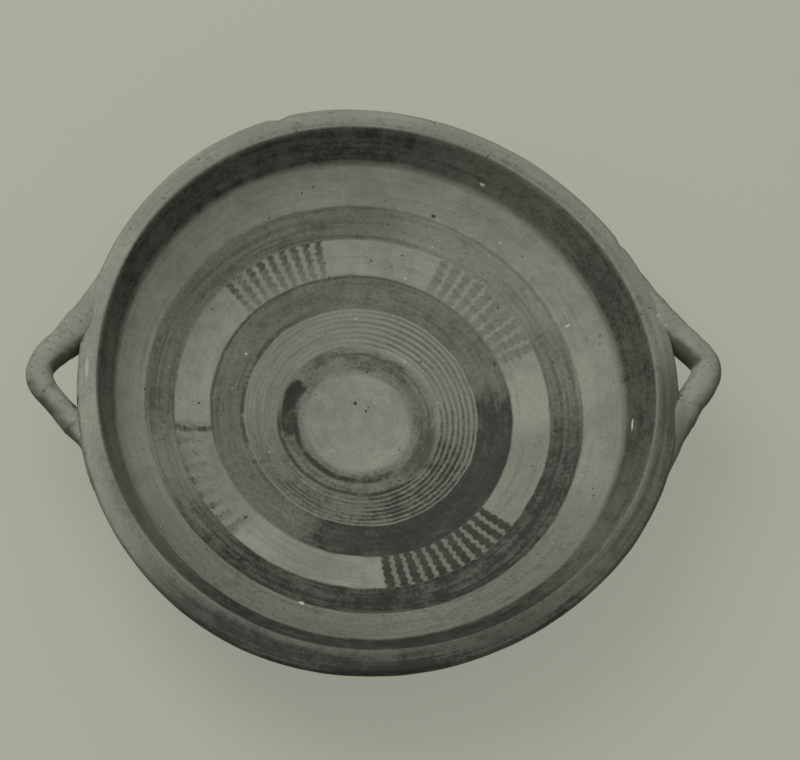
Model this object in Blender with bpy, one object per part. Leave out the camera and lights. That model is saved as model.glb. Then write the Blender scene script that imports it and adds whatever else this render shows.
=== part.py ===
"""Two-handled bowl.

A thrown bowl with a thickened lip stands on a low ring foot. Two rolled coils, bent into
loops, are set under the lip, and clay is smeared round each of their roots. All sizes are
in metres, Z is up, and the part rests on the plane z = 0. The handles lie along X, and the
origin is midway between their tips.
"""

import math

import bmesh
import bpy
from mathutils import Vector

# Bowl: lip, inside curve and wall
RIM_RADIUS = 0.1308
LIP_WIDTH = 0.0100
LIP_DROP = 0.0020
LIP_FACE = 0.0045
LIP_INNER_EASE = 0.0010
LIP_OUTER_EASE = 0.0022
DISH_RISE = 0.0250
WALL_RISE = 0.0220
WALL_POWER = 9.5
WALL_THICKNESS = 0.0075
FLOOR_THICKNESS = 0.0055

# Rim pulled out of round by hand: lean, oval and three-cornered parts of the warp
WARP_START_RADIUS = 0.0900
WARP_GROWTH = 1.5
LEAN_SHIFT = 0.0022
LEAN_ANGLE = math.radians(0.0)
OVAL_SHIFT = 0.0015
OVAL_ANGLE = math.radians(63.0)
TRIANGLE_SHIFT = 0.0020
TRIANGLE_ANGLE = math.radians(-2.0)

# Foot ring under the floor
FOOT_RADIUS = 0.0430
FOOT_WIDTH = 0.0090
FOOT_HEIGHT = 0.0070
FOOT_TAPER = 0.0015
FOOT_EASE = 0.0012
FOOT_SHOULDER = 0.0030

# Handles: coils that cross the rim's edge at two roots and reach past it
COIL_THICKNESS = 0.0118
HANDLE_REACH = 0.0214
HANDLE_SPREAD = 0.0450
HANDLE_BEND = 0.0120
HANDLE_BELOW_RIM = 0.0085
RIGHT_HANDLE_ANGLE = math.radians(6.5)
LEFT_HANDLE_ANGLE = math.radians(181.0)

# Clay smeared round each root: a collar on the coil, and a tail that runs out along the rim
LUTING_COLLAR = 0.0090
LUTING_EDGE = 0.0007
LUTING_SPREAD = 0.0080
LUTING_TALL = 0.0080
LUTING_TAIL = 0.0280
LUTING_TAIL_SINK = 0.0120
LUTING_TIP = 0.0040

# Gap between clay pieces that meet
JOINT_GAP = 0.0003

# Construction depths and mesh steps
ROOT_OVERRUN = 0.0100
ROOT_DEPTH = 0.0300
TURN_STEPS = 72
INNER_STEPS = 12
EASE_STEPS = 2
COIL_STEPS = 30
COIL_SIDES = 12
LUTING_STEPS = 14
LUTING_SIDES = 16
SHARP_ANGLE = math.radians(40.0)
WELD_DISTANCE = 0.000001

# Colours of the clay, light to dark, and its roughness
BODY_CLAY = (0.47, 0.46, 0.38, 1.0)
FOOT_CLAY = (0.44, 0.42, 0.35, 1.0)
COIL_CLAY = (0.50, 0.49, 0.41, 1.0)
LUTING_CLAY = (0.46, 0.45, 0.37, 1.0)
CLAY_ROUGHNESS = 0.8

# Heights and radii that follow from the sizes
FLOOR_BOTTOM = FOOT_HEIGHT
FLOOR_TOP = FLOOR_BOTTOM + FLOOR_THICKNESS
RIM_HEIGHT = FLOOR_TOP + DISH_RISE + WALL_RISE
LIP_INNER_RADIUS = RIM_RADIUS - LIP_WIDTH
FLAT_RADIUS = FOOT_RADIUS + FOOT_SHOULDER
COIL_RADIUS = COIL_THICKNESS / 2.0
UP = Vector((0.0, 0.0, 1.0))


def clear_scene():
    for old in list(bpy.data.objects):
        bpy.data.objects.remove(old, do_unlink=True)


def inner_point(radius):
    """Point of the bowl's inside: a shallow dish that turns up steeply into the wall."""
    share = radius / LIP_INNER_RADIUS
    rise = DISH_RISE * share ** 2 + WALL_RISE * share ** WALL_POWER
    return Vector((radius, FLOOR_TOP + rise))


def outer_point(radius):
    """Point one wall's thickness outside the inner curve at this radius."""
    share = radius / LIP_INNER_RADIUS
    dish_slope = 2.0 * DISH_RISE * share
    wall_slope = WALL_POWER * WALL_RISE * share ** (WALL_POWER - 1.0)
    slope = (dish_slope + wall_slope) / LIP_INNER_RADIUS
    outward = Vector((slope, -1.0)).normalized()
    return inner_point(radius) + outward * WALL_THICKNESS


def eased_corner(before, corner, after, reach):
    """Points of the short curve that takes the sharpness off one corner of an outline."""
    back = before - corner
    ahead = after - corner
    limit = 0.45 * min(back.length, ahead.length)
    start = corner + back.normalized() * min(reach, limit)
    end = corner + ahead.normalized() * min(reach, limit)
    points = []
    for step in range(EASE_STEPS + 1):
        share = step / EASE_STEPS
        first = start.lerp(corner, share)
        second = corner.lerp(end, share)
        points.append(first.lerp(second, share))
    return points


def sample_radii():
    """Radii from the axis to the lip, closer together where the wall steepens."""
    radii = []
    for step in range(INNER_STEPS + 1):
        left = 1.0 - step / INNER_STEPS
        radii.append(LIP_INNER_RADIUS * (1.0 - left ** 1.5))
    return radii


def outer_outline():
    """Outer side of the bowl from the lip's inner edge down to the middle of the underside."""
    radii = sample_radii()
    lip_inside = inner_point(LIP_INNER_RADIUS)
    lip_top = Vector((RIM_RADIUS, RIM_HEIGHT - LIP_DROP))
    lip_under = lip_top - Vector((0.0, LIP_FACE))
    wall = []
    for radius in reversed(radii):
        point = outer_point(radius)
        if point.x > FLAT_RADIUS and point.y < lip_under.y - LIP_OUTER_EASE:
            wall.append(point)
    outline = eased_corner(inner_point(radii[-2]), lip_inside, lip_top, LIP_INNER_EASE)
    outline += eased_corner(lip_inside, lip_top, lip_under, LIP_OUTER_EASE)
    outline += eased_corner(lip_top, lip_under, wall[0], LIP_OUTER_EASE)
    outline += eased_corner(lip_under, wall[0], wall[1], LIP_OUTER_EASE)
    outline += wall[1:]
    outline.append(Vector((FLAT_RADIUS, FLOOR_BOTTOM)))
    outline.append(Vector((0.0, FLOOR_BOTTOM)))
    return outline


def bowl_outline():
    """Whole section of the bowl, from the middle of the floor over the lip to the underside."""
    inside = [inner_point(radius) for radius in sample_radii()[:-1]]
    return inside + outer_outline()


def handle_clearance_outline():
    """Section of everything a handle must keep clear of: the bowl, its hollow and the gap."""
    outer = outer_outline()
    lip_middle = LIP_INNER_RADIUS + LIP_WIDTH / 2.0
    lip_level = RIM_HEIGHT - LIP_DROP / 2.0 + JOINT_GAP
    raised = []
    for index in range(1, len(outer) - 1):
        along = (outer[index + 1] - outer[index - 1]).normalized()
        outward = Vector((-along.y, along.x))
        raised.append(outer[index] + outward * JOINT_GAP)
    raised = [point for point in raised if point.x > lip_middle or point.y < RIM_HEIGHT - LIP_FACE]
    top = RIM_HEIGHT + COIL_THICKNESS
    lid = [Vector((0.0, top)), Vector((lip_middle, top)), Vector((lip_middle, lip_level))]
    base = [Vector((0.0, raised[-1].y))]
    return lid + raised + base


def foot_outline():
    """Closed section of the foot ring: a flat tread, sides drawn in towards the floor."""
    top = FLOOR_BOTTOM - JOINT_GAP
    inner = FOOT_RADIUS - FOOT_WIDTH
    corners = [
        Vector((FOOT_RADIUS - FOOT_TAPER, top)),
        Vector((FOOT_RADIUS, 0.0)),
        Vector((inner, 0.0)),
        Vector((inner + FOOT_TAPER, top)),
    ]
    outline = []
    for index, corner in enumerate(corners):
        before = corners[index - 1]
        after = corners[(index + 1) % len(corners)]
        outline += eased_corner(before, corner, after, FOOT_EASE)
    return outline


def warp_shift(radius, angle):
    """How far hand pressure moved the clay outwards at this radius and angle."""
    beyond = (radius - WARP_START_RADIUS) / (RIM_RADIUS - WARP_START_RADIUS)
    growth = max(0.0, beyond) ** WARP_GROWTH
    lean = LEAN_SHIFT * math.cos(angle - LEAN_ANGLE)
    oval = OVAL_SHIFT * math.cos(2.0 * (angle - OVAL_ANGLE))
    triangle = TRIANGLE_SHIFT * math.cos(3.0 * (angle - TRIANGLE_ANGLE))
    return growth * (lean + oval + triangle)


def rim_edge(angle):
    """Radius of the rim's outer edge at this angle."""
    return RIM_RADIUS + warp_shift(RIM_RADIUS, angle)


def turned_mesh(name, outline, closed):
    """Spin an outline round the turning axis, then pull it out of round."""
    bm = bmesh.new()
    verts = [bm.verts.new((point.x, 0.0, point.y)) for point in outline]
    edges = [bm.edges.new(pair) for pair in zip(verts, verts[1:])]
    if closed:
        edges.append(bm.edges.new((verts[-1], verts[0])))
    bmesh.ops.spin(
        bm,
        geom=verts + edges,
        cent=(0.0, 0.0, 0.0),
        axis=UP,
        angle=2.0 * math.pi,
        steps=TURN_STEPS,
        use_merge=True,
    )
    bmesh.ops.remove_doubles(bm, verts=bm.verts[:], dist=WELD_DISTANCE)
    for vert in bm.verts:
        radius = math.hypot(vert.co.x, vert.co.y)
        angle = math.atan2(vert.co.y, vert.co.x)
        moved = radius + warp_shift(radius, angle)
        vert.co.x = moved * math.cos(angle)
        vert.co.y = moved * math.sin(angle)
    return finished_mesh(name, bm)


def tube_ring(bm, centre, along, width, height, sides):
    """One oval ring of a tube, square to the path."""
    side = along.cross(UP).normalized()
    rise = side.cross(along)
    ring = []
    for step in range(sides):
        turn = 2.0 * math.pi * step / sides
        across = side * (width * math.cos(turn))
        upward = rise * (height * math.sin(turn))
        ring.append(bm.verts.new(centre + across + upward))
    return ring


def sunk_ring(bm, ring, centre):
    """Copy of an end ring, carried towards the turning axis so that the cut leaves a clean end."""
    inward = Vector((-centre.x, -centre.y, 0.0)).normalized()
    return [bm.verts.new(vert.co + inward * ROOT_DEPTH) for vert in ring]


def tube_mesh(name, centres, widths, heights, sides, sink_ends):
    """Closed tube along a path, with its ends run on into the wall if they are to be cut."""
    bm = bmesh.new()
    rings = []
    last = len(centres) - 1
    for index, centre in enumerate(centres):
        along = (centres[min(index + 1, last)] - centres[max(index - 1, 0)]).normalized()
        rings.append(tube_ring(bm, centre, along, widths[index], heights[index], sides))
    if sink_ends:
        rings.insert(0, sunk_ring(bm, rings[0], centres[0]))
        rings.append(sunk_ring(bm, rings[-1], centres[-1]))
    for near, far in zip(rings, rings[1:]):
        for step in range(sides):
            after = (step + 1) % sides
            bm.faces.new((near[step], near[after], far[after], far[step]))
    bm.faces.new(rings[0])
    bm.faces.new(rings[-1])
    return finished_mesh(name, bm)


def finished_mesh(name, bm):
    bmesh.ops.recalc_face_normals(bm, faces=bm.faces[:])
    mesh = bpy.data.meshes.new(name)
    bm.to_mesh(mesh)
    bm.free()
    mesh.shade_smooth()
    mesh.set_sharp_from_angle(angle=SHARP_ANGLE)
    return mesh


def handle_point(angle, share):
    """Point of a handle's centre line: share runs from -1 to 1 between its two roots."""
    half = HANDLE_SPREAD / 2.0
    edge = rim_edge(angle)
    tip = edge + HANDLE_REACH - COIL_RADIUS
    fall = tip - math.sqrt(edge ** 2 - half ** 2)
    steepness = math.sqrt((fall + HANDLE_BEND) ** 2 - HANDLE_BEND ** 2) / half
    across = half * share
    outward = tip + HANDLE_BEND - math.hypot(steepness * across, HANDLE_BEND)
    radial = Vector((math.cos(angle), math.sin(angle), 0.0))
    return radial * outward + UP.cross(radial) * across + UP * (RIM_HEIGHT - HANDLE_BELOW_RIM)


def coil_centres(angle):
    end = 1.0 + 2.0 * ROOT_OVERRUN / HANDLE_SPREAD
    shares = [end * (2.0 * step / COIL_STEPS - 1.0) for step in range(COIL_STEPS + 1)]
    return [handle_point(angle, share) for share in shares]


def coil_mesh(name, angle, extra):
    centres = coil_centres(angle)
    radii = [COIL_RADIUS + extra] * len(centres)
    return tube_mesh(name, centres, radii, radii, COIL_SIDES, True)


def luting_centre(angle, root, past):
    """Centre of the smeared clay, this far past the root: off the coil, then along the rim."""
    limb = handle_point(angle, root * (1.0 + 2.0 * past / HANDLE_SPREAD))
    start = handle_point(angle, root)
    turn = math.atan2(start.y, start.x) + root * past / RIM_RADIUS
    sink = LUTING_TAIL_SINK * max(0.0, past) / LUTING_TAIL
    reach = rim_edge(turn) - sink
    beside = Vector((reach * math.cos(turn), reach * math.sin(turn), limb.z))
    share = (past + LUTING_COLLAR / 2.0) / (LUTING_COLLAR / 2.0 + LUTING_TAIL / 2.0)
    share = min(1.0, max(0.0, share))
    return limb.lerp(beside, share ** 2 * (3.0 - 2.0 * share))


def luting_size(full, past):
    """Half size of the smear: a thin collar on the coil, full at the root, slight at its tip."""
    collar = COIL_RADIUS + JOINT_GAP + LUTING_EDGE
    if past < 0.0:
        return collar + (full - collar) * (1.0 + past / LUTING_COLLAR) ** 2
    return full + (LUTING_TIP - full) * past / LUTING_TAIL


def luting_mesh(name, angle, root):
    """Clay round one root of a handle, before it is cut to the bowl and the coil."""
    centres = []
    widths = []
    heights = []
    for step in range(LUTING_STEPS + 1):
        past = (LUTING_COLLAR + LUTING_TAIL) * step / LUTING_STEPS - LUTING_COLLAR
        centres.append(luting_centre(angle, root, past))
        widths.append(luting_size(LUTING_SPREAD, past))
        heights.append(luting_size(LUTING_TALL, past))
    return tube_mesh(name, centres, widths, heights, LUTING_SIDES, False)


def clay(name, colour):
    material = bpy.data.materials.new(name)
    material.use_nodes = True
    shader = material.node_tree.nodes["Principled BSDF"]
    shader.inputs["Base Color"].default_value = colour
    shader.inputs["Roughness"].default_value = CLAY_ROUGHNESS
    shader.inputs["Metallic"].default_value = 0.0
    return material


def place(name, mesh, parent, colour):
    piece = bpy.data.objects.new(name, mesh)
    piece.parent = parent
    mesh.materials.append(clay(name, colour))
    bpy.context.scene.collection.objects.link(piece)
    return piece


def place_cutter(name, mesh, parent):
    cutter = bpy.data.objects.new(name, mesh)
    cutter.parent = parent
    cutter.hide_render = True
    cutter.display_type = "WIRE"
    bpy.context.scene.collection.objects.link(cutter)
    return cutter


def cut(piece, cutter):
    modifier = piece.modifiers.new("fit to " + cutter.name, "BOOLEAN")
    modifier.operation = "DIFFERENCE"
    modifier.solver = "EXACT"
    modifier.object = cutter


def turning_axis():
    """Empty on the bowl's turning axis, set so that the handle tips lie evenly about x = 0."""
    right_tip = rim_edge(RIGHT_HANDLE_ANGLE) * math.cos(RIGHT_HANDLE_ANGLE)
    left_tip = rim_edge(LEFT_HANDLE_ANGLE) * math.cos(LEFT_HANDLE_ANGLE)
    axis = bpy.data.objects.new("turning_axis", None)
    axis.location.x = -(right_tip + left_tip) / 2.0
    bpy.context.scene.collection.objects.link(axis)
    return axis


def add_handle(side, angle, axis, keep_clear):
    """A coil cut to the bowl, and the clay at its two roots cut to the bowl and the coil."""
    handle = place("handle_" + side, coil_mesh("coil", angle, 0.0), axis, COIL_CLAY)
    cut(handle, keep_clear)
    coil_room = coil_mesh("coil room", angle, JOINT_GAP)
    coil_cutter = place_cutter("coil_room_" + side, coil_room, axis)
    for end in (-1.0, 1.0):
        root_y = handle_point(angle, end).y
        where = "_back" if root_y > 0.0 else "_front"
        mesh = luting_mesh("luting", angle, end)
        luting = place("luting_" + side + where, mesh, axis, LUTING_CLAY)
        cut(luting, keep_clear)
        cut(luting, coil_cutter)


def main():
    clear_scene()
    axis = turning_axis()
    place("bowl", turned_mesh("bowl", bowl_outline(), False), axis, BODY_CLAY)
    place("foot_ring", turned_mesh("foot ring", foot_outline(), True), axis, FOOT_CLAY)
    room = turned_mesh("bowl room", handle_clearance_outline(), False)
    keep_clear = place_cutter("bowl_room", room, axis)
    add_handle("right", RIGHT_HANDLE_ANGLE, axis, keep_clear)
    add_handle("left", LEFT_HANDLE_ANGLE, axis, keep_clear)


main()
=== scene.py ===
"""Looks of the two-handled bowl: thrown clay, rolled coils and worn bands of slip paint."""

import math

import bmesh
import bpy
from mathutils import Matrix, Vector


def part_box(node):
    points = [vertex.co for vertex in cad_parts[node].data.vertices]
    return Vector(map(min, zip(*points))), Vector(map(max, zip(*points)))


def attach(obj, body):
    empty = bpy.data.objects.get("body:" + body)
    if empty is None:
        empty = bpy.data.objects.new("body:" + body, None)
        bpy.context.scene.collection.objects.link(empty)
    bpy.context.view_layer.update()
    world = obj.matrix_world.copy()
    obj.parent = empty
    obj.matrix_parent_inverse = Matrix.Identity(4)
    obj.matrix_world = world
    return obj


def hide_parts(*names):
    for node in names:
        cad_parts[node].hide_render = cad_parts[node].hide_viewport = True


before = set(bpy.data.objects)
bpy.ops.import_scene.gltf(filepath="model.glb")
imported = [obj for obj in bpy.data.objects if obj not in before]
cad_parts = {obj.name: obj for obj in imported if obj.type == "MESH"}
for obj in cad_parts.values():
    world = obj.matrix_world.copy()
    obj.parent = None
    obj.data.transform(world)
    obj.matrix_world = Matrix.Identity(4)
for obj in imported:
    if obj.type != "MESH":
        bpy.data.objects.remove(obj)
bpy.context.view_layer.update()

MM = 0.001
FULL_TURN = 360.0
NOISE_SPAN = 2.0

# Bowl section, as in the solids
RIM_RADIUS = 130.8 * MM
LIP_WIDTH = 10.0 * MM
LIP_DROP = 2.0 * MM
LIP_FACE = 4.5 * MM
LIP_INNER_EASE = 2.2 * MM
LIP_OUTER_EASE = 2.2 * MM
DISH_RISE = 25.0 * MM
WALL_RISE = 22.0 * MM
WALL_POWER = 9.5
WALL_THICKNESS = 7.5 * MM
FLOOR_THICKNESS = 5.5 * MM

# Rim pulled out of round by hand
WARP_START_RADIUS = 90.0 * MM
WARP_GROWTH = 1.5
LEAN_SHIFT = 2.2 * MM
LEAN_ANGLE = math.radians(0.0)
OVAL_SHIFT = 1.5 * MM
OVAL_ANGLE = math.radians(63.0)
TRIANGLE_SHIFT = 2.0 * MM
TRIANGLE_ANGLE = math.radians(-2.0)

# Foot ring
FOOT_RADIUS = 43.0 * MM
FOOT_WIDTH = 9.0 * MM
FOOT_HEIGHT = 7.0 * MM
FOOT_TAPER = 1.5 * MM
FOOT_EASE = 1.2 * MM
FOOT_SHOULDER = 3.0 * MM
FOOT_WELD = 0.3 * MM

# Handles and the clay smeared round their roots
COIL_RADIUS = 5.9 * MM
HANDLE_REACH = 21.4 * MM
HANDLE_SPREAD = 45.0 * MM
HANDLE_BEND = 12.0 * MM
HANDLE_BELOW_RIM = 8.5 * MM
ROOT_OVERRUN = 5.0 * MM
COIL_SWELL = 0.06
ROOT_TAPER = 0.16
ROOT_TAPER_START = 0.88
COIL_TALL = 1.1
LUTING_TALL = 1.0
LUTING_COLLAR = 12.0 * MM
LUTING_PAST_ROOT = 22.0 * MM
LUTING_TAIL = 30.0 * MM
SHORT_TAIL = 15.0 * MM
LUTING_START_SHARE = 0.92
LUTING_FULL_SHARE = 1.12
LUTING_RUN_OUT_POWER = 1.5
LUTING_BLEND = 2.0 * MM
LUTING_LIFT = 2.6 * MM
LUTING_TIP = 2.0 * MM
HANDLE_ANGLES = {"right": math.radians(6.5), "left": math.radians(181.0)}
# The one root whose smear was wiped off short
SHORT_TAIL_ROOT = ("left", 1.0)
# How thick the two limbs of each handle were rolled, the second one being counter-clockwise
HANDLE_LIMBS = {"right": (1.10, 1.15), "left": (1.20, 0.80)}

# Mesh steps
AROUND_STEPS = 360
INNER_STEPS = 140
WALL_STEPS = 90
BASE_STEPS = 24
EASE_STEPS = 8
EASE_CLEARANCE = 2.3
EASE_LIMIT = 0.45
LIP_CROWDING = 1.25
AHEAD_SHARE = 0.01
LIP_STEPS = 8
FOOT_SIDE_STEPS = 8
COIL_STEPS = 120
COIL_SIDES = 48
LUTING_STEPS = 60
LUTING_SIDES = 48
WELD_DISTANCE = 0.000001

# Marks of the making: throwing ridges, wobble of the rim and lumps of rolled clay
THROWING_RIDGE = 0.22 * MM
FOOT_RIDGE = THROWING_RIDGE / 2.0
THROWING_PITCH = 6.0 * MM
RIDGE_NOISE = (1.0, 1.0)
RIM_WOBBLE = 0.7 * MM
RIM_WOBBLE_POWER = 8.0
RIM_WOBBLE_ACROSS = 30.0
RIM_WOBBLE_NOISE = (2.6, 3.0)
COIL_LUMP = 0.9 * MM
COIL_LUMP_SCALE = 75.0
COIL_LUMP_NOISE = (1.0, 2.0)
BOWL_SEED = 3.0
FOOT_SEED = 11.0
HANDLE_SEEDS = {"right": 1.0, "left": 6.0}

# Knocks in the rim: degrees, depth and reach
RIM_CHIPS = (
    (108.9, 1.5 * MM, 4.5 * MM),
    (33.4, 1.2 * MM, 4.0 * MM),
)

# Heights and radii that follow
FLOOR_TOP = FOOT_HEIGHT + FLOOR_THICKNESS
RIM_HEIGHT = FLOOR_TOP + DISH_RISE + WALL_RISE
LIP_INNER_RADIUS = RIM_RADIUS - LIP_WIDTH
FLAT_RADIUS = FOOT_RADIUS + FOOT_SHOULDER
HANDLE_HEIGHT = RIM_HEIGHT - HANDLE_BELOW_RIM
UP = Vector((0.0, 0.0, 1.0))

# Turning axis, taken from the foot ring of the frame
foot_low, foot_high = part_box("foot_ring")
AXIS_X = (foot_low.x + foot_high.x) / 2.0

# Noises: scale, detail, roughness and distortion, and the weights they are added by
BROAD_NOISE = (26.0, 3.0, 0.55)
MIDDLE_NOISE = (130.0, 5.0, 0.62)
FINE_NOISE = (620.0, 4.0, 0.6)
GRAIN_NOISE = (2300.0, 3.0, 0.6)
STREAK_NOISE = (1.0, 5.0, 0.6, 0.3)
SLOW_NOISE = (1.0, 2.0)
FLOOR_NOISE = (3.0, 3.0)
EVEN_WEIGHTS = (0.5, 0.5)
FIRST_HEAVIER = (0.6, 0.4)
WEAR_WEIGHTS = (0.38, 0.22, 0.25, 0.15)
LIP_MOTTLE_WEIGHTS = (0.55, 0.45)

# Ranges name where in a field something begins and is full, then its share at those two places
# Sectors name the degrees round the axis, the half width and the fade, and in lists an amount

# Clay surface
CLAY_SHEEN = 0.3
CLAY_ROUGHNESS = 0.86
GRIT_STRENGTH = 0.55
GRIT_DEPTH = 0.45 * MM
PALE_RANGE = (0.36, 0.62)
STAIN_RANGE = (0.56, 0.74, 0.0, 0.35)
MOTTLE_RANGE = (0.54, 0.70, 0.0, 0.30)
DUST_RANGE = (0.40, 0.64, 0.0, 0.20)
SPECK_SCALE = 210.0
SPECK_EDGE_RANGE = (0.16, 0.09)
DARK_SPECK_RANGE = (0.80, 0.84, 0.0, 0.75)
PALE_SPECK_RANGE = (0.93, 0.96, 0.0, 0.65)

# Painted shade with dark cracks where each limb leaves the rim
CREVICE_TURN = math.radians(6.8)
CREVICE_REACH = 6.0 * MM
CREVICE_RANGE = (0.46, 0.62)
CREVICE_EDGE_RANGE = (0.0, 0.5)

# Brushing: streaks and slower changes round the bowl and across it, and the wear of the slip
STREAK_ROUND = 1.7
STREAK_ACROSS = 520.0
SLOW_ROUND = 2.4
SLOW_ACROSS = 110.0
BRUSH_WANDER = 1.6 * MM
BRUSH_RAGGED = 1.5 * MM
WHEEL_RANGE = (0.50, 0.66, 0.0, 0.22)
SLIP_RANGE = (0.36, 0.60)
INSIDE_SOFT = 0.9 * MM
STREAK_RELIEF = 0.45
PAINT_RELIEF = 0.12
PAINT_POLISH = 0.16

# Worn ring round the middle of the floor
TONDO_RING = (24.0 * MM, 36.0 * MM)
TONDO_SOFT = 2.2 * MM
TONDO_RANGE = (0.38, 0.62, 0.26, 0.80)

# Remains of paint in that ring, the blot being the darkest: degrees, half width, fade, inner and
# outer radius, softness and coverage
TONDO_BLOT = (163.0, 4.0, 15.0, 29.0 * MM, 33.8 * MM, 2.6 * MM, 2.10)
TONDO_MARKS = (
    (174.0, 18.0, 14.0, 26.4 * MM, 34.4 * MM, 1.6 * MM, 1.15),
    (236.0, 56.0, 26.0, 26.0 * MM, 29.6 * MM, 1.9 * MM, 1.15),
    (240.0, 50.0, 30.0, 33.4 * MM, 36.2 * MM, 1.4 * MM, 0.95),
    (330.0, 16.0, 22.0, 27.0 * MM, 36.0 * MM, 2.0 * MM, 0.84),
    (60.0, 50.0, 30.0, 31.6 * MM, 33.4 * MM, 0.7 * MM, 0.80),
    (20.0, 24.0, 25.0, 25.5 * MM, 31.5 * MM, 2.0 * MM, 0.66),
)
TONDO_MARK_RANGE = (0.34, 0.52, 0.45, 1.0)

# Fine lines round it, drawn off centre, with a thin wash over them
FINE_LINES = (35.5 * MM, 51.4 * MM)
FINE_LINE_PITCH = 2.15 * MM
FINE_LINE_SOFT = 0.7 * MM
FINE_LINE_RANGE = (-0.8, 0.8)
FINE_LINE_WEAR_RANGE = (0.38, 0.60, 0.40, 1.0)
CLEAR_LINES_SECTOR = (350.0, 60.0, 60.0)
CLEAR_LINES_RANGE = (0.0, 1.0, 0.16, 0.46)
LINE_WASH = 0.14
LINE_WASH_SECTORS = ((275.0, 50.0, 60.0, 0.34),)
LINE_WASH_RANGE = (0.36, 0.62, 0.5, 1.5)
LINE_DRIFT = 2.4 * MM
LINE_DRIFT_ANGLE = 232.0
LINE_DRIFT_END = 52.0 * MM
LINE_DRIFT_FADE = 20.0 * MM

# Broad bands: radii, softness of their edges, coverage and where it is stronger or rubbed
BAND_SOFT = 0.65 * MM
SCUFF_RANGE = (0.36, 0.64, -0.17, 0.17)
INNER_BAND = (51.7 * MM, 67.1 * MM)
INNER_BAND_SHARE = 0.56
INNER_BAND_SECTORS = ((310.0, 50.0, 22.0, 0.50),)
OUTER_BAND = (83.0 * MM, 96.6 * MM)
OUTER_BAND_SHARE = 0.52
OUTER_BAND_SECTORS = (
    (54.0, 18.0, 14.0, -0.30),
    (210.0, 10.0, 16.0, -0.20),
    (285.0, 58.0, 30.0, 0.43),
)
OUTER_BAND_STREAK = 0.35
OUTER_BAND_LEAST = 0.05
RIM_BAND_START = 111.3 * MM
RIM_BAND_EDGE = (RIM_BAND_START - 1.6 * MM, RIM_BAND_START + 1.8 * MM)
RIM_BAND_SHARE = 0.74
RIM_BAND_SCUFF = 0.7
RIM_BAND_SECTORS = (
    (130.0, 30.0, 45.0, 0.16),
    (272.0, 30.0, 26.0, 0.30),
    (5.0, 16.0, 30.0, 0.14),
    (203.0, 22.0, 24.0, -0.12),
    (328.0, 12.0, 14.0, -0.09),
)

# Darker edges of the inner band: radii, degrees and half width
BAND_EDGES = (
    (INNER_BAND[0], INNER_BAND[0] + 2.4 * MM, 170.0, 110.0),
    (INNER_BAND[1] - 1.6 * MM, INNER_BAND[1], 130.0, 150.0),
)
BAND_EDGE_LEAST = 0.25
BAND_EDGE_GAIN = 0.60
BAND_EDGE_RANGE = (0.34, 0.50)

# Outer edge of the outer band, where its middle is rubbed away
OUTLINE = (OUTER_BAND[1] - 1.3 * MM, OUTER_BAND[1])
OUTLINE_SOFT = 0.5 * MM
OUTLINE_SHARE = 0.42
OUTLINE_SECTOR = (52.0, 30.0, 20.0)

# Wash on the pale zone, film on the panel beyond the last group, and a thumbed smudge
PALE_ZONE = (OUTER_BAND[1], RIM_BAND_START)
WASH_SECTOR = (275.0, 36.0, 42.0)
WASH_RANGE = (0.38, 0.62, 0.28, 0.58)
FILM_SECTOR = (334.0, 16.0, 12.0)
FILM_RANGE = (0.38, 0.62, 0.12, 0.34)
SMUDGE_ANGLE = 356.0
SMUDGE_HALF_WIDTH = 9.0
SMUDGE_RING = (58.5 * MM, 65.5 * MM)
SMUDGE_SOFT = 1.2 * MM
SMUDGE_SHARE = 0.9

# Panel of wavy strokes. Each group: first and last in degrees, how many, width, coverage, wear,
# share left at the inner end, and thin film between the strokes
PANEL = (66.6 * MM, 83.4 * MM)
PANEL_SOFT = 0.5 * MM
STROKE_GROUPS = (
    (25.0, 63.6, 10, 0.70, 0.46, 0.43, 0.85, 0.06),
    (105.0, 137.0, 9, 0.58, 0.84, 0.42, 0.46, 0.08),
    (189.0, 226.0, 9, 0.56, 0.80, 0.47, 0.16, 0.20),
    (278.6, 320.4, 11, 0.70, 1.00, 0.31, 0.95, 0.42),
)
GROUP_END_SOFT = 0.12
WAVE_LENGTH = 3.3 * MM
WAVE_SHARE = 0.065
WAVE_SKEW = 1.9
WAVE_LOOSE = 4.5
STROKE_WANDER = 0.45
STROKE_RAGGED = 0.34
STROKE_SOFT = 0.11
STROKE_WEAR_SOFT = 0.12

# The one dark stroke left in the faded group, in degrees round the bowl, and its ends
KEPT_STROKE = (188.6, 190.7)
KEPT_STROKE_SOFT = 0.7
KEPT_STROKE_WAVE = 0.25
KEPT_STROKE_RAGGED = 2.4
KEPT_STROKE_RUN = (PANEL[0], PANEL[1] - 1.5 * MM)
KEPT_STROKE_END_SOFT = 0.8 * MM
KEPT_STROKE_RANGE = (0.36, 0.54, 0.30, 0.90)

# Small marks on the inside: degrees, radius, half length round the bowl, half width
CHALK_MARKS = (
    (25.0, 99.6 * MM, 0.5 * MM, 1.0 * MM),
    (254.0, 96.6 * MM, 1.2 * MM, 0.8 * MM),
    (64.0, 114.0 * MM, 1.2 * MM, 0.4 * MM),
    (355.0, 114.0 * MM, 2.8 * MM, 0.3 * MM),
    (153.0, 58.0 * MM, 0.6 * MM, 0.5 * MM),
)
CHALK_MARK_SHARE = 0.8
DARK_MARKS = (
    (72.0, 98.0 * MM, 1.2 * MM, 0.6 * MM),
    (180.0, 72.0 * MM, 0.5 * MM, 0.7 * MM),
    (226.0, 72.6 * MM, 0.6 * MM, 1.1 * MM),
    (25.0, 65.4 * MM, 1.1 * MM, 0.5 * MM),
    (83.0, 23.0 * MM, 0.6 * MM, 0.5 * MM),
    (106.0, 8.0 * MM, 0.8 * MM, 0.9 * MM),
    (60.0, 5.0 * MM, 0.6 * MM, 0.7 * MM),
)
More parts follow.
